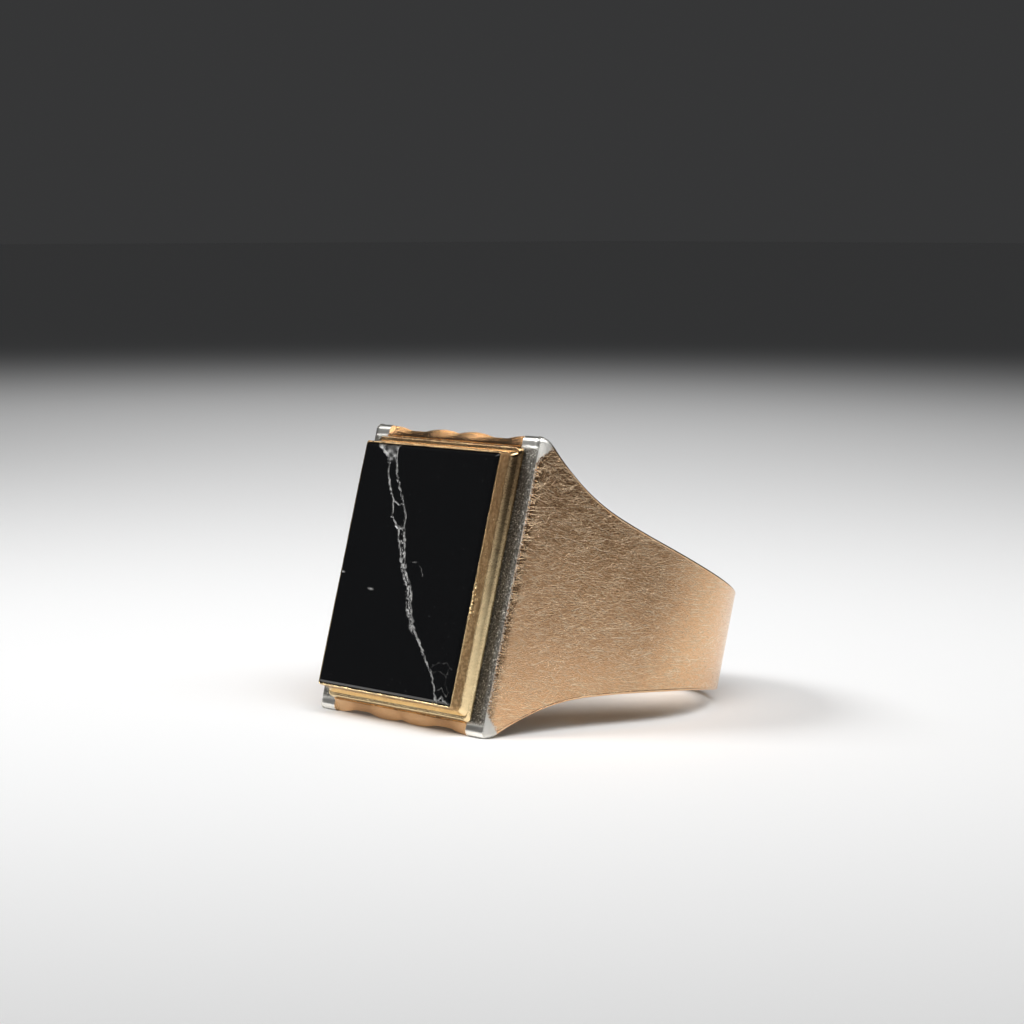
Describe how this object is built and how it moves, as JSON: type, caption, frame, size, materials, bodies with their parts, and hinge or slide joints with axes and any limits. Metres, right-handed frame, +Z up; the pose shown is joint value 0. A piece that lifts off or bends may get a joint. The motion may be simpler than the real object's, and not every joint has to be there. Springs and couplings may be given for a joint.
{
  "type": "signet ring",
  "caption": "Signet ring with a cracked flat rectangular black stone in a stepped gold bezel on wide shoulders that taper round to a narrow back.",
  "frame": {"origin": "under the middle of the ring's box, on the surface that it lies on", "axes": "+Z up with the ring lying on its side, -Y towards the side that the head faces, +X to the right of someone who looks at the head"},
  "size_m": [0.022, 0.0274, 0.0186],
  "materials": {
    "white_metal": "satin",
    "rose_gold": "satin",
    "yellow_gold": "polished",
    "lining_gold": "polished",
    "onyx": "polished",
    "cement": "matte",
    "solder": "satin"
  },
  "bodies": {
    "root": {"shank_core": "white_metal", "shank_outer_skin": "rose_gold", "finger_lining": "lining_gold", "base_plate": "yellow_gold", "bezel_wall": "yellow_gold", "setting_cement": "cement", "onyx_left": "onyx", "onyx_right": "onyx", "upper_gallery": "yellow_gold", "lower_gallery": "yellow_gold", "solder_right": "solder", "solder_left": "solder"}
  },
  "joints": []
}
